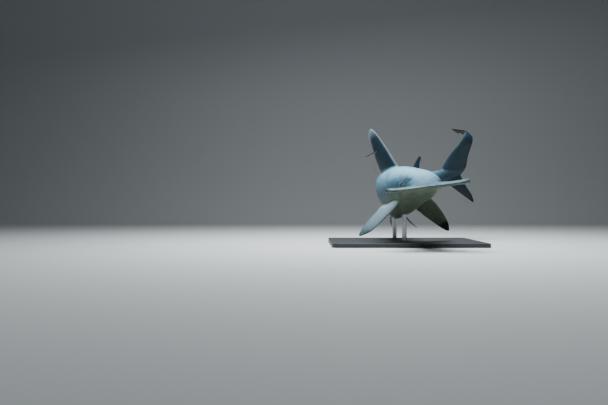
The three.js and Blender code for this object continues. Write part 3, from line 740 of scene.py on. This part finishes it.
def curl_tail(q):
    """Curls the upper lobe over, past its root."""
    rows, turn, line = upper_line()
    rel = q - UPPER_START
    t = rel @ RISING / UPPER_LENGTH
    inside = np.clip(t, 0, 1)
    at = np.stack([np.interp(inside, rows, line[:, i]) for i in range(3)], 1)
    angle = np.interp(inside, rows, turn)
    face = -RISING * np.sin(angle)[:, None] + RIGHT * np.cos(angle)[:, None]
    along = RISING * np.cos(angle)[:, None] + RIGHT * np.sin(angle)[:, None]
    twist = np.radians(HOOK_TWIST) * smoothstep(0.58, 0.8, inside)[:, None]
    behind = BEHIND * np.cos(twist) + face * np.sin(twist)
    face = face * np.cos(twist) - BEHIND * np.sin(twist)
    bent = at + behind * (rel @ BEHIND)[:, None] + face * q[:, 1:2] \
        + along * ((t - inside) * UPPER_LENGTH)[:, None]
    return np.where((t > 0.3)[:, None], bent, q)


def bend(q):
    """The straight skin to the pose. Each fin goes over to the place its root gives it."""
    q = np.asarray(q, float)
    tail = q[:, 0] > 2450
    shaped = q.copy()
    shaped[tail] = curl_tail(q[tail])
    x, z = q[:, 0], q[:, 2]
    gap = body_gap(q)
    out = smoothstep(0, 45, gap)
    posed = pose(shaped, 0, BODY_SPAN[1])
    regions = [((z > 0) & (x > 800) & (x < 1500), DORSAL_ROOT),
               ((z <= 0) & (x > 640) & (x < 1250), PECTORAL_ROOT),
               ((z <= 0) & (x > 1600) & (x < 1960), PELVIC_ROOT),
               ((z > 0) & (x > 2020) & (x < 2400), SECOND_DORSAL_ROOT),
               ((z <= 0) & (x > 1990) & (x < 2360), ANAL_ROOT)]
    for inside, root in regions:
        chosen = inside & (gap > 0)
        fin_place = pose(q[chosen], *root)
        w = out[chosen][:, None]
        posed[chosen] = posed[chosen] * (1 - w) + fin_place * w
    return posed


set_coords(skin, bend(straight_co))


def store(obj, name, values):
    layer = obj.data.attributes.new(name, "FLOAT", "POINT")
    layer.data.foreach_set("value", np.asarray(values, np.float32))


# Where each colour lies, from the straight shape
gap = body_gap(straight_co)
x, y, z = straight_co.T
height = np.where(z > 0, BACK(x), BELLY(x))
level_here = z / height
on_fin = smoothstep(6, 26, gap) * (x > 620)
pectoral_here = on_fin * (x > 640) * (x < 1250) * (z < 40)
# Belly: the underside, whose dark olive is partly painted shade
belly = smoothstep(0.02, -0.42, level_here) * (1 - on_fin)
blade_here = smoothstep(275, 215, x) * smoothstep(60, 130, np.abs(y))
belly = np.maximum(belly, blade_here * smoothstep(0.66, 0.3, straight_normals[:, 2]))
underfin = pectoral_here * smoothstep(0.1, -0.25, straight_normals[:, 2])
droop = np.radians(np.where(y > 0, RIGHT_PECTORAL[0], LEFT_PECTORAL[0]))
reach = np.where(y > 0, *PECTORAL_REACH)
out_y, out_z = np.abs(y) - PECTORAL_ROOT_Y, z + 100
pectoral_out = (out_y * np.cos(droop) - out_z * np.sin(droop)) / reach
belly = np.maximum(belly, underfin)
pelvic_here = on_fin * (x > 1600) * (x < 1960) * (z < 0)
lower_out = ((straight_co - LOWER_START) @ FALLING) / LOWER_LENGTH
lower_tip = smoothstep(0.72, 1.0, lower_out) * (z < -60) * (x > 2600)
under_tip = underfin * smoothstep(0.6, 0.9, pectoral_out)
pelvic_tip = pelvic_here * smoothstep(-330, -400, z)
# Painted highlight: the first dorsal's tip, rear strip and front edge painted pale, as lit
on_dorsal = (x > 800) & (x < 1500) & (z > 100)
dorsal_out = np.clip((z - 200) / FIRST_DORSAL["length"], 0, 1)
strip = smoothstep(60, 20, FIRST_DORSAL["rear"](dorsal_out) - x) * smoothstep(0.2, 0.5, dorsal_out)
lead = smoothstep(22, 6, x - FIRST_DORSAL["front"](dorsal_out))
pale = np.clip(smoothstep(0.72, 0.98, dorsal_out) + 0.6 * strip + 0.35 * lead, 0, 1)
dorsal_painted_highlight = on_fin * on_dorsal * pale
# Painted shade: the curled end of the upper tail lobe, painted near black
upper_out = ((straight_co - UPPER_START) @ RISING) / UPPER_LENGTH
tail_hook_painted_shade = smoothstep(0.5, 0.66, upper_out) * (z > 60) * (x > 2600)
# Painted light: the upper faces of the pectorals painted paler, as lit from above
pectoral_top_painted_light = pectoral_here * smoothstep(-0.1, 0.3, straight_normals[:, 2])
# Painted shade: all fins but the pectorals, and the tail end, painted dark as if shaded
fin_painted_shade = on_fin * (1 - pectoral_here) + smoothstep(2250, 2560, x) * 0.75

# Painted shade in grooves, slits, nostrils and eye sockets; painted highlights beside the folds
dist, past = mouth_distance(straight_co)
under_head = smoothstep(0.1, -0.3, straight_normals[:, 2]) * (x < 360) * (z < -15)
painted_crease_shade = np.exp(-(dist / 4.0) ** 2) * np.exp(-(past / MOUTH_CORNER) ** 2) * under_head
around = angle_round(straight_co)
fold_painted_highlight = np.zeros(len(x))
for x0, depth, width, low, high in NAPE_FOLDS:
    d = (x - fold_line(x0, around)) / (width * 1.25)
    painted_crease_shade += fold_reach(low, high, around) * np.exp(-d ** 2) * depth / 11
    beside = np.exp(-((d + 1.9) / 0.8) ** 2) + 0.6 * np.exp(-((d - 1.9) / 0.8) ** 2)
    fold_painted_highlight += fold_reach(low, high, around) * beside * depth / 30
for x0 in GILL_XS:
    line = gill_line(x0, z)
    at_slit = (z < GILL_TOP + 8) & (z > GILL_BOTTOM - 8) & (np.abs(x - line - 1) < 11)
    painted_crease_shade = np.where(at_slit & (gap < -3.5), 1.0, painted_crease_shade)
    painted_crease_shade += 0.8 * gill_ends(z, 10) * np.exp(-((x - line - 7) / 5.5) ** 2) * (np.abs(gap) < 25)
in_nostril = nostril_span(np.abs(y) / HEAD_HALF_WIDTH) * (x < 75)
painted_crease_shade += in_nostril * np.exp(-((z - NOSTRIL_Z) / NOSTRIL_WIDTH) ** 2)
eye_far = np.linalg.norm(np.stack([x - EYE_X, np.abs(y) - EYE_Y - LID_OUT, z], 1), axis=1)
painted_crease_shade += smoothstep(24, 19, eye_far)
belly = belly * (1 - 0.85 * smoothstep(2100, 2420, x))
# Dark fin tips: marks on the pectorals, pelvics and lower lobe, painted shade on the curled upper
# lobe
dark_tips_and_shade = lower_tip + under_tip + pelvic_tip + tail_hook_painted_shade
# Painted highlights: dorsal tip and edges, pectoral tops and the ridges beside the folds
painted_highlight = np.maximum(dorsal_painted_highlight, 0.55 * pectoral_top_painted_light) + 0.6 * fold_painted_highlight
for name, values in (("painted_crease_shade", painted_crease_shade), ("belly", belly), ("fin", fin_painted_shade),
                     ("dark_tips_and_shade", dark_tips_and_shade), ("painted_highlight", painted_highlight)):
    store(skin, name, np.clip(values, 0, 1))
for name, values in (("along", x), ("across", y), ("up", z)):
    store(skin, name, values * MM)
skin.data.shade_smooth()


# Materials. The skin's follows the straight shark's own coordinates, so that nothing stretches
class Tree:
    """Short ways to add and join shader nodes."""

    def __init__(self, tree):
        self.tree = tree

    def add(self, kind, **inputs):
        node = self.tree.nodes.new(kind)
        for key, value in inputs.items():
            self.feed(node.inputs[key.replace("_", " ")], value)
        return node

    def feed(self, socket, value):
        if isinstance(value, bpy.types.NodeSocket):
            self.tree.links.new(value, socket)
        else:
            socket.default_value = value

    def math(self, operation, *values, clamp=False):
        node = self.tree.nodes.new("ShaderNodeMath")
        node.operation = operation
        node.use_clamp = clamp
        for i, value in enumerate(values):
            self.feed(node.inputs[i], value)
        return node.outputs[0]

    def between(self, low, high, value):
        """Smooth step from 0 at low to 1 at high."""
        node = self.add("ShaderNodeMapRange", Value=value)
        node.interpolation_type = "SMOOTHSTEP"
        node.inputs["From Min"].default_value = low
        node.inputs["From Max"].default_value = high
        return node.outputs[0]

    def mix(self, share, a, b):
        node = self.tree.nodes.new("ShaderNodeMix")
        node.data_type = "RGBA"
        self.feed(node.inputs["Factor"], share)
        self.feed(node.inputs["A"], a if isinstance(a, bpy.types.NodeSocket) else (*a, 1))
        self.feed(node.inputs["B"], b if isinstance(b, bpy.types.NodeSocket) else (*b, 1))
        return node.outputs["Result"]

    def tint(self, base, share, strength, colour):
        return self.mix(self.math("MULTIPLY", share, strength), base, colour)

    def attribute(self, name):
        node = self.tree.nodes.new("ShaderNodeAttribute")
        node.attribute_name = name
        return node.outputs["Fac"]

    def noise(self, place, scale, detail=4.0, rough=0.55, distortion=0.0):
        node = self.add("ShaderNodeTexNoise", Vector=place, Scale=scale, Detail=detail,
                        Roughness=rough, Distortion=distortion)
        return node.outputs["Fac"]

    def bump(self, height, strength, distance, before=None):
        node = self.add("ShaderNodeBump", Strength=strength, Distance=distance, Height=height)
        if before is not None:
            self.feed(node.inputs["Normal"], before)
        return node.outputs["Normal"]


def new_material(name):
    mat = bpy.data.materials.new(name)
    mat.use_nodes = True
    return mat, Tree(mat.node_tree), mat.node_tree.nodes["Principled BSDF"]


def srgb(r, g, b):
    """Linear colour from 8-bit screen values."""
    return tuple((v / 255 / 12.92) if v / 255 <= 0.04045 else ((v / 255 + 0.055) / 1.055) ** 2.4
                 for v in (r, g, b))


def skin_material():
    mat, t, shader = new_material("shark skin")
    along, across, up = t.attribute("along"), t.attribute("across"), t.attribute("up")
    place = t.add("ShaderNodeCombineXYZ", X=along, Y=across, Z=up).outputs[0]
    belly, fin = t.attribute("belly"), t.attribute("fin")
    dark_tips_and_shade, painted_highlight = t.attribute("dark_tips_and_shade"), t.attribute("painted_highlight")

    # Blue-grey back with a painted tint of cyan light, painted shade on the lower flanks, dark fins
    # and tail as painted shade, olive belly darkened as painted shade, dark tips (marks, and
    # painted shade on the curled tail tip), pale tips and fold sides as painted highlights, painted
    # shade in the grooves
    clouds = t.noise(place, 3.2, 5.0, 0.6, 0.4)
    mottle = t.noise(place, 17.0, 6.0, 0.62, 0.8)
    fine = t.noise(place, 95.0, 5.0, 0.6)
    # The back's blue is a painted tint of cyan light
    back = t.mix(t.between(0.35, 0.66, clouds), srgb(98, 146, 168), srgb(134, 182, 202))
    back = t.tint(back, t.between(0.42, 0.72, mottle), 0.32, srgb(74, 108, 128))
    # Painted shade: the flanks darken downwards below the top of the back
    back = t.tint(back, t.between(0.16, -0.02, up), 0.8, srgb(46, 66, 79))
    # Painted shade on the fins and the tail end, by the "fin" attribute
    back = t.tint(back, fin, 0.93, srgb(14, 28, 39))
    # Olive belly, darkened as painted shade under the body
    belly_with_painted_shade = t.mix(t.between(0.35, 0.7, clouds), srgb(92, 104, 84), srgb(72, 83, 68))
    belly_with_painted_shade = t.tint(belly_with_painted_shade, t.between(0.45, 0.75, mottle), 0.35, srgb(56, 65, 53))
    edge_noise = t.math("ADD", belly, t.math("MULTIPLY", t.math("SUBTRACT", mottle, 0.5), 0.75))
    base = t.mix(t.between(0.12, 0.88, edge_noise), back, belly_with_painted_shade)
    # Dark tips: marks, and painted shade on the curled upper tail lobe
    base = t.mix(t.between(0.35, 0.8, dark_tips_and_shade), base, srgb(9, 11, 13))
    # Painted highlights
    base = t.tint(base, painted_highlight, 0.8, srgb(160, 182, 192))
    speckle = t.between(0.60, 0.72, t.noise(place, 52.0, 3.0, 0.5))
    base = t.tint(base, speckle, 0.28, srgb(58, 72, 80))
    # Painted shade in the grooves, slits, nostrils and eye sockets
    base = t.tint(base, t.attribute("painted_crease_shade"), 0.7, srgb(30, 36, 40))
    grain = t.add("ShaderNodeHueSaturation", Color=base,
                  Value=t.math("MULTIPLY_ADD", fine, 0.35, 0.82)).outputs[0]
    t.feed(shader.inputs["Base Color"], grain)
    rough = t.math("MULTIPLY_ADD", mottle, 0.22, 0.34, clamp=True)
    t.feed(shader.inputs["Roughness"], rough)
    shader.inputs["Specular IOR Level"].default_value = 0.2

    # Tooth-like scales, soft wrinkles and long shallow swellings
    scales = t.add("ShaderNodeTexVoronoi", Vector=place, Scale=420.0)
    scales.feature = "F1"
    low = t.bump(t.noise(place, 7.5, 3.0, 0.5), 0.35, 0.012)
    stretched = t.add("ShaderNodeMapping", Vector=place)
    stretched.inputs["Scale"].default_value = (1.0, 0.22, 0.22)
    wrinkle_field = t.noise(stretched.outputs[0], 46.0, 4.0, 0.6, 1.2)
    wrinkle = t.bump(wrinkle_field, 0.3, 0.004, low)
    pores = t.bump(t.noise(place, 150.0, 4.0, 0.6), 0.35, 0.0016, wrinkle)
    t.feed(shader.inputs["Normal"], t.bump(scales.outputs["Distance"], 0.25, 0.0009, pores))
    return mat


def eye_material(side):
    """Rings round the way that the eye looks: pupil, streaked iris and a dark rim."""
    mat, t, shader = new_material("eye")
    centre = pose(np.array([EYE_X, side * EYE_Y, 0.0]))
    out = frames_at(EYE_X)[:, 1] * side
    place = t.add("ShaderNodeTexCoord").outputs["Object"]
    rel = t.add("ShaderNodeVectorMath")
    rel.operation = "SUBTRACT"
    t.feed(rel.inputs[0], place)
    rel.inputs[1].default_value = tuple(centre * MM)
    facing = t.add("ShaderNodeVectorMath")
    facing.operation = "DOT_PRODUCT"
    t.feed(facing.inputs[0], rel.outputs[0])
    facing.inputs[1].default_value = tuple(out / (EYE_RADIUS * MM))
    lean = facing.outputs["Value"]
    streaks = t.noise(place, 900.0, 4.0, 0.6)
    iris = t.mix(t.between(0.35, 0.7, streaks), srgb(96, 84, 50), srgb(150, 136, 88))
    ring = t.mix(t.between(0.80, 0.84, lean), srgb(24, 26, 26), iris)
    pupil = t.mix(t.between(0.885, 0.905, lean), ring, srgb(4, 5, 6))
    t.feed(shader.inputs["Base Color"], pupil)
    shader.inputs["Roughness"].default_value = 0.08
    shader.inputs["Coat Weight"].default_value = 1.0
    shader.inputs["Coat Roughness"].default_value = 0.03
    return mat


def plain_material(name, colour, dark, rough, scale, metal=0.0, bump=0.2, depth=0.001, coat=0.0):
    """One colour with darker patches and a fine bump."""
    mat, t, shader = new_material(name)
    place = t.add("ShaderNodeTexCoord").outputs["Object"]
    broad = t.noise(place, scale * 0.12, 4.0, 0.55)
    fine = t.noise(place, scale, 5.0, 0.6)
    colour = t.mix(t.between(0.35, 0.7, broad), colour, dark)
    colour = t.tint(colour, t.between(0.55, 0.8, fine), 0.35, dark)
    t.feed(shader.inputs["Base Color"], colour)
    spread = t.math("MULTIPLY_ADD", fine, 0.24, rough - 0.12, clamp=True)
    t.feed(shader.inputs["Roughness"], spread)
    shader.inputs["Metallic"].default_value = metal
    shader.inputs["Coat Weight"].default_value = coat
    t.feed(shader.inputs["Normal"], t.bump(fine, bump, depth))
    return mat


def brushed_material(name, colour, rough):
    """Drawn metal, with fine rings of scratches round the rod and faint smudges."""
    mat, t, shader = new_material(name)
    place = t.add("ShaderNodeTexCoord").outputs["Object"]
    drawn = t.add("ShaderNodeMapping", Vector=place)
    drawn.inputs["Scale"].default_value = (22.0, 22.0, 900.0)
    lines = t.noise(drawn.outputs[0], 1.0, 3.0, 0.6)
    smudge = t.noise(place, 14.0, 4.0, 0.6)
    dull = tuple(c * 0.78 for c in colour)
    t.feed(shader.inputs["Base Color"], t.mix(t.between(0.3, 0.75, smudge), colour, dull))
    shader.inputs["Metallic"].default_value = 1.0
    spread = t.math("MULTIPLY_ADD", lines, 0.22, rough - 0.05, clamp=True)
    t.feed(shader.inputs["Roughness"], spread)
    t.feed(shader.inputs["Normal"], t.bump(lines, 0.25, 0.0004))
    return mat


skin.data.materials.clear()
skin.data.materials.append(skin_material())
skin.name = "shark_skin"
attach(skin, "root")
FLESH = ("head", "trunk", "tail", "caudal_fin", "first_dorsal_fin", "second_dorsal_fin", "anal_fin",
         "pectoral_fin_right", "pectoral_fin_left", "pelvic_fin_right", "pelvic_fin_left")
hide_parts(*FLESH)


def finished(obj, node, mat, smooth_faces=True):
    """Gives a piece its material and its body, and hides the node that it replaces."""
    obj.data.materials.clear()
    obj.data.materials.append(mat)
    if smooth_faces:
        obj.data.shade_smooth()
    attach(obj, "root")
    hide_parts(node)


# Eyes
for name, side in SIDES.items():
    bpy.ops.mesh.primitive_uv_sphere_add(segments=64, ring_count=40, radius=EYE_RADIUS * MM)
    eye = bpy.context.object
    eye.name = f"eyeball_{name}"
    q = coords(eye) + np.array([EYE_X, side * EYE_Y, 0])
    set_coords(eye, pose(q))
    finished(eye, f"eye_{name}", eye_material(side))


# Tag: rod with rounded ends and two bands, on a stiff leader held by a dart in the skin
TAG_RADIUS, BAND_RADIUS, TAG_END_SHARE = 7.6, 7.98, 0.035
BANDS_AT = (0.3, 0.72)
LEADER_RADIUS = 0.0019


def tag_place(q):
    return pose(q, *DORSAL_ROOT)


def turned(name, a, b, profile, sides=32):
    """Solid of revolution from a to b. Profile rows are (share of the length, radius)."""
    a, b = np.asarray(a, float), np.asarray(b, float)
    axis = b - a
    length = np.linalg.norm(axis)
    axis /= length
    u = np.cross(axis, [1, 0, 0] if abs(axis[2]) > 0.9 else [0, 0, 1])
    u /= np.linalg.norm(u)
    v = np.cross(axis, u)
    angle = np.linspace(0, 2 * np.pi, sides, endpoint=False)
    circle = np.cos(angle)[:, None] * u + np.sin(angle)[:, None] * v
    return loft(name, [a + axis * length * s + circle * r for s, r in profile])


def round_ends(radius, share, steps=5):
    """Profile rows for the two rounded ends of a rod, each this share of its length."""
    angles = [math.pi / 2 * i / steps for i in range(steps + 1)]
    front = [(share * (1 - math.cos(a)), radius * max(math.sin(a), 0.05)) for a in angles]
    return front, [(1 - s, r) for s, r in reversed(front)]


TAG_ENDS = [tag_place((1270, 108, 453)), tag_place((1100, 28, 458))]
ANCHOR_ENDS = [tag_place((1192, 22, 208)), tag_place((1240, 46, 239))]
TETHER_PATH = tag_place([(1150, 51, 455), (1172, 66, 402), (1192, 76, 352), (1214, 78, 300),
                         (1226, 64, 258), (1230, 41, 232)])
DART_PROFILE = [(0, 1.5), (0.25, 4.6), (0.6, 4.9), (0.8, 4.9), (0.93, 4.0), (1, 2.4)]
front_end, rear_end = round_ends(TAG_RADIUS, TAG_END_SHARE)
bands = []
for s in BANDS_AT:
    bands += [(s - 0.025, TAG_RADIUS), (s - 0.02, BAND_RADIUS), (s + 0.02, BAND_RADIUS),
              (s + 0.025, TAG_RADIUS)]
tag_body = turned("tag_rod", *TAG_ENDS, front_end + bands + rear_end)
finished(tag_body, "tag_body",
         plain_material("tag resin", srgb(48, 22, 16), srgb(24, 12, 10), 0.3, scale=120.0,
                        coat=0.4), smooth_faces=False)
dart = turned("tag_dart", *ANCHOR_ENDS, DART_PROFILE, sides=20)
finished(dart, "tag_anchor",
         plain_material("tag steel", srgb(196, 194, 186), srgb(120, 118, 112), 0.35, scale=200.0,
                        metal=1.0))
curve = bpy.data.curves.new("leader", "CURVE")
curve.dimensions = "3D"
spline = curve.splines.new("NURBS")
spline.points.add(len(TETHER_PATH) - 1)
for point, place in zip(spline.points, TETHER_PATH):
    point.co = (*(place * MM), 1)
spline.use_endpoint_u = True
spline.order_u = 4
curve.bevel_depth = LEADER_RADIUS
curve.bevel_resolution = 5
curve.resolution_u = 16
curve.use_fill_caps = True
leader_curve = linked("tag_leader", curve)
graph = bpy.context.evaluated_depsgraph_get()
leader_mesh = bpy.data.meshes.new_from_object(leader_curve.evaluated_get(graph))
bpy.data.objects.remove(leader_curve)
leader = linked("tag_leader", leader_mesh)
finished(leader, "tag_tether",
         plain_material("leader", srgb(170, 178, 182), srgb(120, 128, 132), 0.45, scale=300.0))

# Stand: bevelled base and two drawn rods, up into the belly
BASE_W, BASE_D, BASE_H, BASE_CORNER, BEVEL = 1560.0, 1240.0, 40.0, 60.0, 3.0
ROD_RADIUS, ROD_STATIONS = 24.0, {"front": 900.0, "rear": 1560.0}
# The rods start this far above the base, and end this far above the top of the CAD's rods
ROD_GAP, ROD_INTO_SKIN = 0.3, 6
ROD_PROFILE = [(0, ROD_RADIUS - 1), (0.006, ROD_RADIUS), (0.5, ROD_RADIUS), (1, ROD_RADIUS)]
CORNER_ANGLES = np.linspace(0, np.pi / 2, 13)


def base_ring(inset, height):
    """Outline of the base, this far in from its sides."""
    ring = []
    for sx, sy, start in ((1, -1, -90), (1, 1, 0), (-1, 1, 90), (-1, -1, 180)):
        a = CORNER_ANGLES + math.radians(start)
        cx, cy = sx * (BASE_W / 2 - BASE_CORNER), sy * (BASE_D / 2 - BASE_CORNER)
        r = BASE_CORNER - inset
        ring += [(cx + r * math.cos(v), cy + r * math.sin(v), height) for v in a]
    return ring


rings = [base_ring(BEVEL, 0), base_ring(0.4 * BEVEL, 0.4 * BEVEL), base_ring(0, BEVEL),
         base_ring(0, BASE_H - BEVEL), base_ring(0.3 * BEVEL, BASE_H - 0.3 * BEVEL),
         base_ring(BEVEL, BASE_H)]
stand_base = loft("stand_plate", rings)
finished(stand_base, "stand_base",
         plain_material("stand plate", srgb(58, 60, 62), srgb(52, 54, 57), 0.5, scale=420.0,
                        bump=0.35, depth=0.0005), smooth_faces=False)
rod_metal = brushed_material("stand rod", srgb(196, 199, 202), 0.28)
for name, station in ROD_STATIONS.items():
    foot = pose(np.array([station, 0, -0.5 * float(BELLY(station))]))
    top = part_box(f"stand_rod_{name}")[1].z / MM + ROD_INTO_SKIN
    low = BASE_H + ROD_GAP
    rod = turned(f"stand_post_{name}", (foot[0], foot[1], low), (foot[0], foot[1], top),
                 ROD_PROFILE, sides=64)
    finished(rod, f"stand_rod_{name}", rod_metal, smooth_faces=False)

# Floor and backdrop in one sweep, soft light from above
FLOOR_HALF, FLOOR_FRONT, FLOOR_DROP = 14.0, -16.0, 0.0005
SWEEP_START, SWEEP_RADIUS, WALL_TOP = 7.0, 3.0, 14.0
sweep = [(FLOOR_FRONT, 0.0), (SWEEP_START, 0.0)]
sweep += [(SWEEP_START + SWEEP_RADIUS * math.sin(a), SWEEP_RADIUS * (1 - math.cos(a)))
          for a in np.linspace(0.05, math.pi / 2, 24)]
sweep.append((SWEEP_START + SWEEP_RADIUS, WALL_TOP))
verts = [(s * FLOOR_HALF, y, z - FLOOR_DROP) for y, z in sweep for s in (-1, 1)]
faces = [(2 * i, 2 * i + 1, 2 * i + 3, 2 * i + 2) for i in range(len(sweep) - 1)]
floor = mesh_object("studio_floor", verts, faces, 1.0)
floor.data.shade_smooth()
paper, _, paper_shader = new_material("pale paper")
paper_shader.inputs["Base Color"].default_value = (0.62, 0.64, 0.65, 1)
paper_shader.inputs["Roughness"].default_value = 0.85
floor.data.materials.append(paper)


def area_light(name, place, target, size, power, colour):
    data = bpy.data.lights.new(name, "AREA")
    data.shape = "RECTANGLE"
    data.size, data.size_y = size
    data.energy = power
    data.color = colour
    obj = linked(name, data)
    obj.location = place
    obj.rotation_euler = (Vector(target) - Vector(place)).to_track_quat("-Z", "Y").to_euler()


area_light("overhead", place=(-0.4, -0.2, 4.4), target=(0, 0, 0.5), size=(2.4, 2.4), power=540,
           colour=(0.93, 0.98, 1.0))
area_light("side", place=(4.2, -3.4, 2.6), target=(0, 0, 0.5), size=(2.4, 2.4), power=5,
           colour=(1.0, 0.99, 0.97))
area_light("front", place=(-3.6, -5.6, 2.2), target=(0, 0, 0.6), size=(3.0, 2.0), power=7,
           colour=(0.95, 0.98, 1.0))
world = bpy.data.worlds.new("studio")
world.use_nodes = True
background = world.node_tree.nodes["Background"]
background.inputs["Color"].default_value = (0.78, 0.86, 0.92, 1)
background.inputs["Strength"].default_value = 0.07
bpy.context.scene.world = world

# Camera at the photo's viewing angle, level
camera_data = bpy.data.cameras.new("camera")
camera_data.sensor_width = 36.0
camera_data.lens = 41.447
camera = linked("camera", camera_data)
camera.location = (-1.0581, -7.4428, 0.4435)
camera.rotation_euler = (math.pi / 2, 0, 0)
bpy.context.scene.camera = camera
